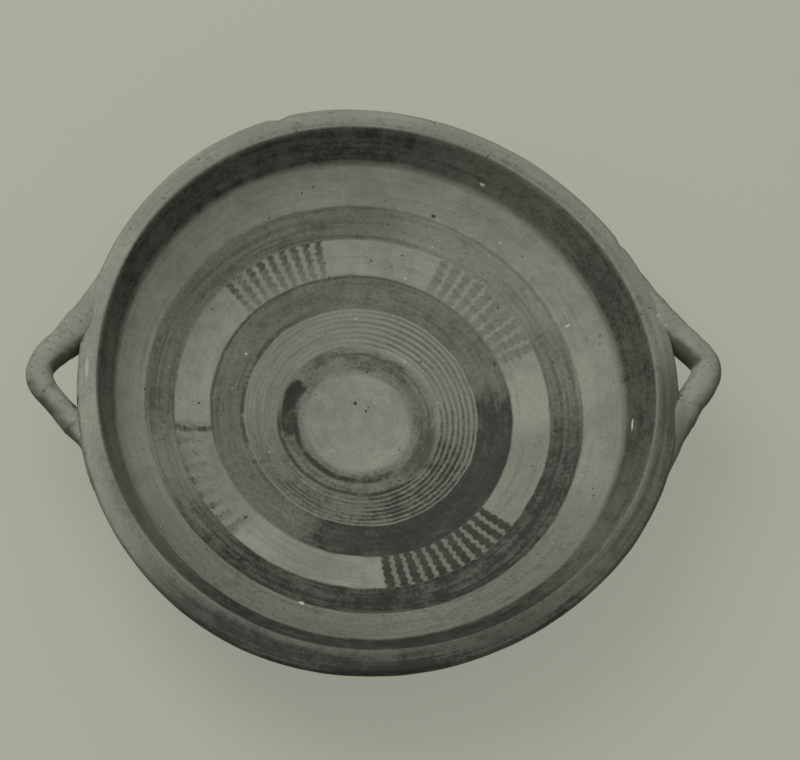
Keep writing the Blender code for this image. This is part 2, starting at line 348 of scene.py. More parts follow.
DARK_MARK_SHARE = 0.9
LIP_SMEAR = (181.0, 126.0 * MM, 5.0 * MM, 0.9 * MM)
LIP_SMEAR_END = (12.0 * MM, 11.0 * MM)
LIP_SMEAR_SHARE = 0.36
MARK_RAGGED = 1.6
MARK_EDGE_RANGE = (1.2, 0.7)

# Slip on the lip: strips are measured over the lip from its inner edge, with their softness
LIP_STRIP = (0.2 * MM, 16.5 * MM, 0.9 * MM)
LIP_OVER_STRIP = (-1.2 * MM, 16.5 * MM, 0.9 * MM)
LIP_OVER_SECTOR = (288.0, 42.0, 22.0)
LIP_FRONT_SECTOR = (270.0, 28.0, 34.0)
LIP_RIGHT_SECTOR = (325.0, 32.0, 22.0)
LIP_RIGHT_SHARE = 0.82
LIP_OUTER_RANGE = (0.6 * MM, 3.6 * MM, 0.80, 1.0)
LIP_INNER_RANGE = (7.0 * MM, 2.0 * MM, 0.45, 1.0)
LIP_BROAD = 0.4
LIP_STREAK = 0.5
LIP_PATCH_RANGE = (0.36, 0.56, 0.80, 1.0)
# Where the lip faces the light it keeps less film: partly clean clay, partly painted light
LIP_CLEAN_AND_LIT_SECTOR = (168.0, 14.0, 26.0)
LIP_CLEAN_AND_LIT_RANGE = (0.0, 1.0, 1.0, 0.2)
LIP_FILM_RANGE = (0.38, 0.62, 0.12, 0.50)
LIP_MOTTLE_RANGE = (0.47, 0.60, 0.0, 0.62)
LIP_MOTTLE_SECTOR = (326.0, 32.0, 24.0)
LIP_MOTTLE_SECTOR_RANGE = (0.0, 1.0, 0.26, 1.0)
LIP_EDGE_STRIP = (9.0 * MM, 17.0 * MM, 1.2 * MM)
LIP_EDGE_RANGE = (0.46, 0.60, 0.0, 0.6)
# The dark outer edge at the front is slip, and painted shade where the lip's outer slope turns from the
# light
LIP_DARK_STRIP = (4.6 * MM, 17.0 * MM, 1.6 * MM)
LIP_DARK_SECTOR = (279.0, 30.0, 24.0)
LIP_DARK_RANGE = (0.34, 0.52, 0.72, 1.0)

# Painted shade, with some slip left on, along the side of the handles turned from the light, which the
# right one has turned to its own angle
RIGHT_STRIP_ANGLE = -32.0
HANDLE_STRIP_RAGGED = 2.0
HANDLE_STRIP_RANGE = (0.06, 0.62)
HANDLE_STRIP_SHARE = 0.90
HANDLE_STRIP_HEIGHTS = (HANDLE_HEIGHT + 8.0 * MM, HANDLE_HEIGHT + 2.4 * MM)
HANDLE_LOOP_CLIMB = 6.0 * MM
HANDLE_RUB_RANGE = (0.52, 0.66, 0.04, 0.50)
HANDLE_MOTTLE_RANGE = (0.50, 0.62, 0.0, 0.42)
FROM_LIP_RANGE = (RIM_RADIUS + 9.0 * MM, RIM_RADIUS + 4.0 * MM)
FROM_LIP_SECTOR = (325.0, 26.0, 14.0)
FROM_LIP_SHARE = 0.62
HANDLE_RELIEF = 0.8
HANDLE_POLISH = 0.14

# Foot ring, rubbed pale where it stands
TREAD_RANGE = (1.6 * MM, 0.2 * MM)
TREAD_RUB_RANGE = (0.35, 0.60)
FOOT_RELIEF = 0.5
FOOT_ROUGHNESS = 0.9
FOOT_POLISH = 0.2

# Clay and slip colours; the slip colours also paint the shade on the handles, in their corners and on the
# lip's outer edge
CLAY_LIGHT = (0.248, 0.249, 0.200, 1.0)
CLAY_DULL = (0.180, 0.181, 0.145, 1.0)
CLAY_STAIN = (0.098, 0.096, 0.072, 1.0)
SLIP_DARK = (0.017, 0.017, 0.0115, 1.0)
SLIP_THIN = (0.046, 0.046, 0.034, 1.0)
CHALK = (0.46, 0.46, 0.42, 1.0)

# Camera, as the photograph was taken: its place from the axis, the way to its right and backwards
CAMERA_PLACE = (-0.13594, -0.46560, 1.11493)
CAMERA_RIGHT = (0.99041, 0.0, 0.13812)
CAMERA_BACK = (-0.12659, -0.40008, 0.90770)
CAMERA_LENS = 122.42
CAMERA_CLIP = 0.01
SENSOR_WIDTH = 36.0

# Floor
FLOOR_SIZE = 6.0
FLOOR_LEVEL = -0.02 * MM
FLOOR_PALE = (0.39, 0.395, 0.325, 1.0)
FLOOR_SHADE = 0.97
FLOOR_ROUGHNESS = 0.95
FLOOR_GLOW = 0.68

# Lights: name, place, size and power
LIGHTS = (
    ("window light", (-0.86, 0.70, 1.52), 1.4, 24.0),
    ("fill light", (0.0, 0.0, 1.9), 1.6, 5.0),
)
LIGHT_AIM_HEIGHT = 30.0 * MM
SKY_COLOUR = (1.0, 1.0, 1.0, 1.0)
SKY_STRENGTH = 0.46


class NodeSheet:
    """Adds nodes to one tree. An input is a plain value or another node's output."""

    def __init__(self, tree):
        self.tree = tree

    def feed(self, socket, value):
        if isinstance(value, bpy.types.NodeSocket):
            self.tree.links.new(value, socket)
        elif value is not None:
            socket.default_value = value

    def add(self, kind, *values, **settings):
        node = self.tree.nodes.new(kind)
        for name, value in settings.items():
            setattr(node, name, value)
        for socket, value in zip(node.inputs, values):
            self.feed(socket, value)
        return node

    def math(self, operation, *values):
        return self.add("ShaderNodeMath", *values, operation=operation).outputs[0]

    def vector(self, operation, *values):
        return self.add("ShaderNodeVectorMath", *values, operation=operation).outputs[0]

    def dot(self, first, second):
        return self.add("ShaderNodeVectorMath", first, second, operation="DOT_PRODUCT").outputs[1]

    def scaled(self, vector, amount):
        node = self.add("ShaderNodeVectorMath", vector, operation="SCALE")
        self.feed(node.inputs["Scale"], amount)
        return node.outputs[0]

    def length(self, vector):
        return self.add("ShaderNodeVectorMath", vector, operation="LENGTH").outputs["Value"]

    def distance(self, first, second):
        return self.add("ShaderNodeVectorMath", first, second, operation="DISTANCE").outputs["Value"]

    def attribute(self, name):
        return self.add("ShaderNodeAttribute", attribute_name=name).outputs["Fac"]

    def times(self, first, second):
        return self.math("MULTIPLY", first, second)

    def plus(self, first, second):
        return self.math("ADD", first, second)

    def minus(self, first, second):
        return self.math("SUBTRACT", first, second)

    def larger(self, *values):
        result = values[0]
        for value in values[1:]:
            result = self.math("MAXIMUM", result, value)
        return result

    def swing(self, noise, amount):
        """A noise as an amount that goes to both sides of zero."""
        return self.times(self.minus(noise, 0.5), amount)

    def mixed(self, fields, weights):
        """Sum of fields, each taken by its weight."""
        total = self.times(fields[0], weights[0])
        for field, weight in zip(fields[1:], weights[1:]):
            total = self.plus(total, self.times(field, weight))
        return total

    def apart(self, vector):
        return self.add("ShaderNodeSeparateXYZ", vector).outputs

    def together(self, x, y, z):
        return self.add("ShaderNodeCombineXYZ", x, y, z).outputs[0]

    def ramp(self, value, low, high, start=0.0, end=1.0):
        """Smooth step of a value from low to high."""
        node = self.add("ShaderNodeMapRange", value, low, high, start, end)
        node.interpolation_type = "SMOOTHSTEP"
        return node.outputs[0]

    def noise(self, vector, scale, detail=3.0, rough=0.55, distortion=0.0):
        node = self.add("ShaderNodeTexNoise", vector)
        node.inputs["Scale"].default_value = scale
        node.inputs["Detail"].default_value = detail
        node.inputs["Roughness"].default_value = rough
        node.inputs["Distortion"].default_value = distortion
        return node.outputs["Fac"]

    def colours(self, share, first, second):
        node = self.add("ShaderNodeMix", data_type="RGBA")
        self.feed(node.inputs[0], share)
        self.feed(node.inputs[6], first)
        self.feed(node.inputs[7], second)
        return node.outputs[2]


# Section outlines and paths

def inner_point(radius):
    share = radius / LIP_INNER_RADIUS
    rise = DISH_RISE * share ** 2 + WALL_RISE * share ** WALL_POWER
    return Vector((radius, FLOOR_TOP + rise))


def outer_point(radius):
    share = radius / LIP_INNER_RADIUS
    dish_slope = 2.0 * DISH_RISE * share
    wall_slope = WALL_POWER * WALL_RISE * share ** (WALL_POWER - 1.0)
    slope = (dish_slope + wall_slope) / LIP_INNER_RADIUS
    return inner_point(radius) + Vector((slope, -1.0)).normalized() * WALL_THICKNESS


def eased_corner(before, corner, after, reach):
    """Points of the short curve that takes the sharpness off one corner."""
    back = before - corner
    ahead = after - corner
    limit = EASE_LIMIT * min(back.length, ahead.length)
    start = corner + back.normalized() * min(reach, limit)
    end = corner + ahead.normalized() * min(reach, limit)
    points = []
    for step in range(EASE_STEPS + 1):
        share = step / EASE_STEPS
        points.append(start.lerp(corner, share).lerp(corner.lerp(end, share), share))
    return points


def between(start, end, steps):
    """Evenly spaced points inside a straight run, without its two ends."""
    return [start.lerp(end, step / steps) for step in range(1, steps)]


def bowl_outline():
    """Section from the middle of the floor over the lip to the middle of the underside."""
    spread = []
    for step in range(INNER_STEPS + 1):
        left = 1.0 - step / INNER_STEPS
        spread.append(LIP_INNER_RADIUS * (1.0 - left ** LIP_CROWDING))
    lip_inside = inner_point(LIP_INNER_RADIUS)
    lip_top = Vector((RIM_RADIUS, RIM_HEIGHT - LIP_DROP))
    lip_under = lip_top - Vector((0.0, LIP_FACE))
    wall = []
    for step in range(WALL_STEPS + 1):
        point = outer_point(LIP_INNER_RADIUS * (1.0 - step / WALL_STEPS))
        if point.x > FLAT_RADIUS and point.y < lip_under.y - LIP_OUTER_EASE:
            wall.append(point)
    flat_edge = Vector((FLAT_RADIUS, FOOT_HEIGHT))
    middle = Vector((0.0, FOOT_HEIGHT))
    inside = [inner_point(radius) for radius in spread]
    clear = LIP_INNER_EASE * EASE_CLEARANCE
    outline = [point for point in inside if (lip_inside - point).length > clear]
    inner_bend = eased_corner(outline[-1], lip_inside, lip_top, LIP_INNER_EASE)
    outer_bend = eased_corner(lip_inside, lip_top, lip_under, LIP_OUTER_EASE)
    outline += inner_bend
    outline += between(inner_bend[-1], outer_bend[0], LIP_STEPS)
    outline += outer_bend
    outline += eased_corner(lip_top, lip_under, wall[0], LIP_OUTER_EASE)
    outline += eased_corner(lip_under, wall[0], wall[2], LIP_OUTER_EASE)
    outline += wall[2:-1]
    outline += [flat_edge]
    outline += between(flat_edge, middle, BASE_STEPS)
    outline += [middle]
    return outline


def foot_outline():
    """Closed section of the foot ring, its top sunk a little into the floor it is luted to."""
    top = FOOT_HEIGHT + FOOT_WELD
    inner = FOOT_RADIUS - FOOT_WIDTH
    corners = [
        Vector((FOOT_RADIUS - FOOT_TAPER, top)),
        Vector((FOOT_RADIUS, 0.0)),
        Vector((inner, 0.0)),
        Vector((inner + FOOT_TAPER, top)),
    ]
    outline = []
    for index, corner in enumerate(corners):
        before = corners[index - 1]
        after = corners[(index + 1) % len(corners)]
        bend = eased_corner(before, corner, after, FOOT_EASE)
        if outline:
            outline += between(outline[-1], bend[0], FOOT_SIDE_STEPS)
        outline += bend
    outline += between(outline[-1], outline[0], FOOT_SIDE_STEPS)
    outline.append(outline[0].copy())
    return outline


def rim_edge(angle):
    lean = LEAN_SHIFT * math.cos(angle - LEAN_ANGLE)
    oval = OVAL_SHIFT * math.cos(2.0 * (angle - OVAL_ANGLE))
    triangle = TRIANGLE_SHIFT * math.cos(3.0 * (angle - TRIANGLE_ANGLE))
    return RIM_RADIUS + lean + oval + triangle


def handle_point(angle, share):
    """Point of a handle's centre line: share runs from -1 to 1 between its two roots."""
    half = HANDLE_SPREAD / 2.0
    edge = rim_edge(angle)
    tip = edge + HANDLE_REACH - COIL_RADIUS
    fall = tip - math.sqrt(edge ** 2 - half ** 2)
    steepness = math.sqrt((fall + HANDLE_BEND) ** 2 - HANDLE_BEND ** 2) / half
    across = half * share
    outward = tip + HANDLE_BEND - math.hypot(steepness * across, HANDLE_BEND)
    radial = Vector((math.cos(angle), math.sin(angle), 0.0))
    place = radial * outward + UP.cross(radial) * across + UP * HANDLE_HEIGHT
    return place + Vector((AXIS_X, 0.0, 0.0))


def rolled_point(side, share):
    """Centre and half thickness of a handle's coil: every limb keeps its outer edge in place."""
    angle = HANDLE_ANGLES[side]
    place = handle_point(angle, share)
    ahead = handle_point(angle, share + AHEAD_SHARE) - place
    outward = ahead.cross(UP).normalized()
    first, second = HANDLE_LIMBS[side]
    rolled = COIL_RADIUS * (first + (second - first) * eased_share(share / 2.0 + 0.5))
    thickness = rolled * (1.0 + COIL_SWELL * eased_share(abs(share)))
    return place + outward * (COIL_RADIUS - rolled), thickness


def coil_path(side):
    """Centre line of a coil, which narrows where it is sunk in the rim."""
    end = 1.0 + 2.0 * ROOT_OVERRUN / HANDLE_SPREAD
    points = []
    for step in range(COIL_STEPS + 1):
        share = end * (2.0 * step / COIL_STEPS - 1.0)
        place, thickness = rolled_point(side, share)
        sunk = max(0.0, abs(share) - ROOT_TAPER_START) / (1.0 - ROOT_TAPER_START)
        points.append((place, thickness * (1.0 - ROOT_TAPER * sunk)))
    return points


def eased_share(share):
    share = min(1.0, max(0.0, share))
    return share ** 2 * (3.0 - 2.0 * share)


def smooth_larger(first, second, blend):
    """The larger of two lengths, rounded over where they are nearly equal."""
    return (first + second + math.hypot(first - second, blend)) / 2.0


def luting_point(side, root, past):
    """Centre and half thickness of the smear: sunk in the coil, then running out along the rim."""
    limb, coil = rolled_point(side, root * (1.0 + 2.0 * past / HANDLE_SPREAD))
    start = handle_point(HANDLE_ANGLES[side], root)
    turn = math.atan2(limb.y, limb.x - AXIS_X)
    swing = turn - math.atan2(start.y, start.x - AXIS_X)
    along = root * RIM_RADIUS * math.atan2(math.sin(swing), math.cos(swing))
    full = coil * LUTING_FULL_SHARE
    tail = SHORT_TAIL if (side, root) == SHORT_TAIL_ROOT else LUTING_TAIL
    run_out = min(1.0, max(0.0, along) / tail)
    size = full + (LUTING_TIP - full) * run_out
    if past < 0.0:
        begin = coil * LUTING_START_SHARE
        size = begin + (full - begin) * eased_share(1.0 + past / LUTING_COLLAR)
    stand_out = full * (1.0 - run_out) ** LUTING_RUN_OUT_POWER
    on_limb = math.hypot(limb.x - AXIS_X, limb.y)
    reach = smooth_larger(on_limb, rim_edge(turn) + stand_out - size, LUTING_BLEND)
    level = HANDLE_HEIGHT + LUTING_LIFT * eased_share(run_out)
    return Vector((AXIS_X + reach * math.cos(turn), reach * math.sin(turn), level)), size


def luting_path(side, root):
    points = []
    for step in range(LUTING_STEPS + 1):
        past = (LUTING_COLLAR + LUTING_PAST_ROOT) * step / LUTING_STEPS - LUTING_COLLAR
        points.append(luting_point(side, root, past))
    return points


# Geometry node trees

def new_tree(name, inputs):
    """Empty geometry tree with named inputs: returns its sheet, input sockets and identifiers."""
    tree = bpy.data.node_groups.new(name, "GeometryNodeTree")
    identifiers = {}
    for label, kind in inputs:
        socket = tree.interface.new_socket(name=label, in_out="INPUT", socket_type=kind)
        identifiers[label] = socket.identifier
    tree.interface.new_socket(name="Clay", in_out="OUTPUT", socket_type="NodeSocketGeometry")
    sheet = NodeSheet(tree)
    entry = tree.nodes.new("NodeGroupInput")
    sockets = {label: entry.outputs[label] for label in identifiers}
    return sheet, sockets, identifiers


def end_tree(sheet, geometry, material):
    smooth = sheet.add("GeometryNodeSetShadeSmooth", geometry)
    real = sheet.add("GeometryNodeRealizeInstances", smooth.outputs[0])
    dressed = sheet.add("GeometryNodeSetMaterial", real.outputs[0])
    sheet.feed(dressed.inputs["Material"], material)
    sheet.add("NodeGroupOutput", dressed.outputs[0])


def stored(sheet, geometry, name, value):
    node = sheet.add("GeometryNodeStoreNamedAttribute", geometry, data_type="FLOAT", domain="POINT")
    node.inputs["Name"].default_value = name
    sheet.feed(node.inputs["Value"], value)
    return node.outputs[0]


def recalled(sheet, name):
    return sheet.add("GeometryNodeInputNamedAttribute", name, data_type="FLOAT").outputs[0]


def sampled(sheet, geometry, kind, value, index):
    node = sheet.add("GeometryNodeSampleIndex", geometry, data_type=kind)
    sheet.feed(node.inputs["Value"], value)
    sheet.feed(node.inputs["Index"], index)
    return node.outputs[0]


def moved(sheet, geometry, how, value):
    """Geometry with its points set to a Position, or shifted by an Offset."""
    node = sheet.add("GeometryNodeSetPosition", geometry)
    sheet.feed(node.inputs[how], value)
    return node.outputs[0]


def turned_tree():
    """Spins a section round the axis, pulls it out of round and leaves throwing ridges."""
    sheet, given, identifiers = new_tree("turned clay", [
        ("Section", "NodeSocketObject"),
        ("Rows", "NodeSocketInt"),
        ("Steps around", "NodeSocketInt"),
        ("Axis", "NodeSocketFloat"),
        ("Rim radius", "NodeSocketFloat"),
        ("Warp start", "NodeSocketFloat"),
        ("Warp growth", "NodeSocketFloat"),
        ("Lean", "NodeSocketFloat"),
        ("Oval", "NodeSocketFloat"),
        ("Triangle", "NodeSocketFloat"),
        ("Ridge height", "NodeSocketFloat"),
        ("Ridge pitch", "NodeSocketFloat"),
        ("Rim wobble", "NodeSocketFloat"),
        ("Seed", "NodeSocketFloat"),
        ("Material", "NodeSocketMaterial"),
    ])
    section = sheet.add("GeometryNodeObjectInfo", given["Section"]).outputs["Geometry"]
    columns = sheet.plus(given["Steps around"], 1.0)
    grid = sheet.add("GeometryNodeMeshGrid", 1.0, 1.0, columns, given["Rows"])
    along = sheet.apart(grid.outputs["UV Map"])
    row = sheet.math("ROUND", sheet.times(along[1], sheet.minus(given["Rows"], 1.0)))
    angle = sheet.times(along[0], 2.0 * math.pi)
    here = sheet.add("GeometryNodeInputPosition").outputs[0]
    point = sheet.apart(sampled(sheet, section, "FLOAT_VECTOR", here, row))
    radius = point[0]
    height = point[2]
    run = sampled(sheet, section, "FLOAT", recalled(sheet, "section_run"), row)
    span = sheet.minus(given["Rim radius"], given["Warp start"])
    beyond = sheet.math("DIVIDE", sheet.minus(radius, given["Warp start"]), span)
    growth = sheet.math("POWER", sheet.larger(beyond, 0.0), given["Warp growth"])
    pulls = []
    for label, times, turn in (
        ("Lean", 1.0, LEAN_ANGLE),
        ("Oval", 2.0, OVAL_ANGLE),
        ("Triangle", 3.0, TRIANGLE_ANGLE),
    ):
        swing = sheet.math("COSINE", sheet.times(sheet.minus(angle, turn), times))
        pulls.append(sheet.times(given[label], swing))
    pull = sheet.plus(sheet.plus(pulls[0], pulls[1]), pulls[2])
    reach = sheet.plus(radius, sheet.times(growth, pull))
    across = sheet.plus(sheet.times(reach, sheet.math("COSINE", angle)), given["Axis"])
    deep = sheet.times(reach, sheet.math("SINE", angle))
    clay = moved(sheet, grid.outputs["Mesh"], "Position", sheet.together(across, deep, height))
    clay = stored(sheet, clay, "turned_radius", radius)
    clay = stored(sheet, clay, "section_run", run)
    welded = sheet.add("GeometryNodeMergeByDistance", clay)
    welded.inputs["Distance"].default_value = WELD_DISTANCE
    clay = sheet.add("GeometryNodeFlipFaces", welded.outputs[0]).outputs[0]
    place = sheet.apart(here)
    flat = sheet.together(sheet.minus(place[0], given["Axis"]), place[1], 0.0)
    compass = sheet.apart(sheet.vector("NORMALIZE", flat))
    ridge_run = recalled(sheet, "section_run")
    pitch_steps = sheet.math("DIVIDE", ridge_run, given["Ridge pitch"])
    spot = sheet.together(compass[0], compass[1], sheet.plus(pitch_steps, given["Seed"]))
    ridge = sheet.swing(sheet.noise(spot, *RIDGE_NOISE), NOISE_SPAN)
    lift = sheet.times(ridge, given["Ridge height"])
    near_rim = sheet.math("DIVIDE", recalled(sheet, "turned_radius"), given["Rim radius"])
    near_rim = sheet.math("POWER", sheet.larger(near_rim, 0.0), RIM_WOBBLE_POWER)
    loose_run = sheet.times(ridge_run, RIM_WOBBLE_ACROSS)
    loose_spot = sheet.together(compass[0], compass[1], loose_run)
    loose = sheet.swing(sheet.noise(loose_spot, *RIM_WOBBLE_NOISE), NOISE_SPAN)
    wobble = sheet.times(loose, sheet.times(near_rim, given["Rim wobble"]))
    lift = sheet.plus(lift, wobble)
    for degrees, depth, reach in RIM_CHIPS:
        knock = math.radians(degrees)
        edge = rim_edge(knock)
        middle = (AXIS_X + edge * math.cos(knock), edge * math.sin(knock), RIM_HEIGHT - LIP_DROP)
        lift = sheet.minus(lift, sheet.ramp(sheet.distance(here, middle), reach, 0.0, 0.0, depth))
    facing = sheet.add("GeometryNodeInputNormal").outputs[0]
    clay = moved(sheet, clay, "Offset", sheet.scaled(facing, lift))
    # Nothing reaches below the plane that the foot stands on
    above = sheet.larger(place[2], 0.0)
    clay = moved(sheet, clay, "Position", sheet.together(place[0], place[1], above))
    end_tree(sheet, clay, given["Material"])
    return sheet.tree, identifiers


def coil_tree():
    """Lays rolled clay along a path, as thick as the path says, with the lumps hands leave."""
    sheet, given, identifiers = new_tree("rolled clay", [
        ("Path", "NodeSocketObject"),
        ("Steps", "NodeSocketInt"),
        ("Sides", "NodeSocketInt"),
        ("Tallness", "NodeSocketFloat"),
        ("Lump height", "NodeSocketFloat"),
        ("Lump scale", "NodeSocketFloat"),
        ("Seed", "NodeSocketFloat"),
        ("Material", "NodeSocketMaterial"),
    ])
    path = sheet.add("GeometryNodeObjectInfo", given["Path"]).outputs["Geometry"]
    even = sheet.add("GeometryNodeResampleCurve", path)
    sheet.feed(even.inputs["Count"], given["Steps"])
    level = sheet.add("GeometryNodeSetCurveNormal", even.outputs[0], mode="Z_UP")
    circle = sheet.add("GeometryNodeCurvePrimitiveCircle", given["Sides"])
    circle.inputs["Radius"].default_value = 1.0
    ring = sheet.add("GeometryNodeTransform", circle.outputs[0])
    sheet.feed(ring.inputs["Scale"], sheet.together(1.0, given["Tallness"], 1.0))
    thickness = sheet.add("GeometryNodeInputRadius").outputs[0]
    rolled = sheet.add("GeometryNodeCurveToMesh", level.outputs[0], ring.outputs[0], thickness, True)
    here = sheet.add("GeometryNodeInputPosition").outputs[0]
    seed_shift = sheet.together(given["Seed"], given["Seed"], given["Seed"])
    spot = sheet.vector("ADD", sheet.scaled(here, given["Lump scale"]), seed_shift)
    lump = sheet.noise(spot, *COIL_LUMP_NOISE)
    lift = sheet.swing(lump, sheet.times(given["Lump height"], NOISE_SPAN))
    facing = sheet.add("GeometryNodeInputNormal").outputs[0]
    clay = moved(sheet, rolled.outputs[0], "Offset", sheet.scaled(facing, lift))
    place = sheet.apart(here)
    # Which way each point faces, for the painted shade on the handles
    from_axis = sheet.vector("NORMALIZE", sheet.together(sheet.minus(place[0], AXIS_X), place[1], 0.0))
    inner_side = sheet.times(sheet.dot(facing, from_axis), -1.0)
    right_half = sheet.ramp(place[0], 0.0, COIL_RADIUS)
    right_side = sheet.times(sheet.dot(facing, compass_vector(RIGHT_STRIP_ANGLE)), right_half)
    front_side = sheet.larger(sheet.dot(facing, (0.0, -1.0, 0.0)), right_side)
    clay = stored(sheet, clay, "front_side", front_side)
    clay = stored(sheet, clay, "inner_side", inner_side)
    end_tree(sheet, clay, given["Material"])
    return sheet.tree, identifiers


def section_object(name, outline):
    """Loose points of a section in the XZ plane, each with its run along the outline."""
    mesh = bpy.data.meshes.new(name)
    mesh.from_pydata([(point.x, 0.0, point.y) for point in outline], [], [])
    runs = [0.0]
    for near, far in zip(outline, outline[1:]):
        runs.append(runs[-1] + (far - near).length)
    attribute = mesh.attributes.new("section_run", "FLOAT", "POINT")
    attribute.data.foreach_set("value", runs)
    return linked(name, mesh)


def path_object(name, points):
    curve = bpy.data.curves.new(name, "CURVE")
    curve.dimensions = "3D"
    spline = curve.splines.new("POLY")
    spline.points.add(len(points) - 1)
    for point, (place, size) in zip(spline.points, points):
        point.co = (place.x, place.y, place.z, 1.0)
        point.radius = size
    return linked(name, curve)


def linked(name, data):
    made = bpy.data.objects.new(name, data)
    bpy.context.scene.collection.objects.link(made)
    return made


def grown(name, tree, identifiers, settings, guide):
    """Plain mesh object of what a tree makes from a guide, which is then removed."""
    maker = linked(name + "_maker", bpy.data.meshes.new(name + "_maker"))
    modifier = maker.modifiers.new("clay", "NODES")
    modifier.node_group = tree
    for label, value in settings.items():
        modifier[identifiers[label]] = value
    depsgraph = bpy.context.evaluated_depsgraph_get()
    mesh = bpy.data.meshes.new_from_object(
        maker.evaluated_get(depsgraph),
        preserve_all_data_layers=True,
        depsgraph=depsgraph,
    )
    maker.modifiers.remove(modifier)
    bpy.data.objects.remove(maker, do_unlink=True)
    bpy.data.objects.remove(guide, do_unlink=True)
    mesh.name = name
    return linked(name, mesh)


# Materials

def clay_material(name):
    material = bpy.data.materials.new(name)
    material.use_nodes = True
    sheet = NodeSheet(material.node_tree)
    shader = material.node_tree.nodes["Principled BSDF"]
    shader.inputs["Specular IOR Level"].default_value = CLAY_SHEEN
    return material, sheet, shader


def compass_vector(degrees):
    turn = math.radians(degrees)
    return (math.cos(turn), math.sin(turn), 0.0)


class ClayGround:
    """Fields that every clay surface shares: place, direction round the axis and noises."""

    def __init__(self, sheet):
        self.sheet = sheet
        self.place = sheet.add("ShaderNodeTexCoord").outputs["Object"]
        x, y, z = sheet.apart(self.place)
        self.height = z
        flat = sheet.together(sheet.minus(x, AXIS_X), y, 0.0)
        self.compass = sheet.vector("NORMALIZE", flat)
        self.reach = sheet.length(flat)
        self.broad = sheet.noise(self.place, *BROAD_NOISE)
        self.middle = sheet.noise(self.place, *MIDDLE_NOISE)
        self.fine = sheet.noise(self.place, *FINE_NOISE)
        self.grain = sheet.noise(self.place, *GRAIN_NOISE)

    def patch(self, degrees, half_width):
        """Soft share of the circle, 1 at an angle and 0 from half_width degrees away."""
        near = self.sheet.dot(self.compass, compass_vector(degrees))
        return self.sheet.ramp(near, math.cos(math.radians(half_width)), 1.0)

    def sector(self, degrees, half_width, fade):
        """Share of the circle that is full inside half_width degrees and fades over some more."""
        near = self.sheet.dot(self.compass, compass_vector(degrees))
        outer = math.cos(math.radians(min(FULL_TURN / 2.0, half_width + fade)))
        return self.sheet.ramp(near, outer, math.cos(math.radians(half_width)))

    def in_sectors(self, share, sectors):
        """A share of paint, with more or less of it in some sectors of the circle."""
        for degrees, half_width, fade, amount in sectors:
            change = self.sheet.times(self.sector(degrees, half_width, fade), amount)
            share = self.sheet.plus(share, change)
        return share

    def near(self, point, reach):
        """1 at a point, falling to 0 at this distance from it."""
        return self.sheet.ramp(self.sheet.distance(self.place, point), reach, 0.0)

    def crevice_shade(self):
        """Painted shade with dark cracks in the corners between the limbs and the rim."""
        sheet = self.sheet
        corners = []
        for angle in HANDLE_ANGLES.values():
            for turn in (angle - CREVICE_TURN, angle + CREVICE_TURN):
                edge = rim_edge(turn)
                across = AXIS_X + edge * math.cos(turn)
                corners.append((across, edge * math.sin(turn), RIM_HEIGHT - LIP_FACE))
        close = sheet.larger(*[self.near(corner, CREVICE_REACH) for corner in corners])
        broken_shade = sheet.ramp(sheet.mixed((self.fine, close), FIRST_HEAVIER), *CREVICE_RANGE)
        return sheet.times(sheet.ramp(close, *CREVICE_EDGE_RANGE), broken_shade)

    def bare_clay(self):
        """Colour of the fired clay: pale and dull patches, stains, dark and chalky specks."""
        sheet = self.sheet
        patches = sheet.mixed((self.broad, self.middle), EVEN_WEIGHTS)
        colour = sheet.colours(sheet.ramp(patches, *PALE_RANGE), CLAY_DULL, CLAY_LIGHT)
        colour = sheet.colours(sheet.ramp(self.middle, *STAIN_RANGE), colour, CLAY_STAIN)
        colour = sheet.colours(sheet.ramp(self.fine, *MOTTLE_RANGE), colour, CLAY_STAIN)
        specks = sheet.add("ShaderNodeTexVoronoi", self.place, feature="F1")
        specks.inputs["Scale"].default_value = SPECK_SCALE
        small = sheet.ramp(specks.outputs["Distance"], *SPECK_EDGE_RANGE)
        pick = sheet.apart(specks.outputs["Color"])
        dark = sheet.times(small, sheet.ramp(pick[0], *DARK_SPECK_RANGE))
        pale = sheet.times(small, sheet.ramp(pick[1], *PALE_SPECK_RANGE))
        colour = sheet.colours(dark, colour, SLIP_THIN)
        colour = sheet.colours(pale, colour, CHALK)
        return sheet.colours(sheet.ramp(self.grain, *DUST_RANGE), colour, CLAY_STAIN)

    def surface(self, shader, height, roughness):
        """Feeds the shader a matt, slightly gritty surface."""
        sheet = self.sheet
        grit = sheet.mixed((self.fine, self.grain), FIRST_HEAVIER)
        bump = sheet.add("ShaderNodeBump")
        bump.inputs["Strength"].default_value = GRIT_STRENGTH
        bump.inputs["Distance"].default_value = GRIT_DEPTH
        sheet.feed(bump.inputs["Height"], sheet.plus(grit, height))
        sheet.feed(shader.inputs["Normal"], bump.outputs[0])
        sheet.feed(shader.inputs["Roughness"], roughness)


def ring_share(sheet, radius, inner, outer, soft):
    """1 between two radii, 0 outside, with brushed edges this soft."""
    rise = sheet.ramp(radius, inner - soft, inner + soft)
    fall = sheet.ramp(radius, outer + soft, outer - soft)
    return sheet.times(rise, fall)


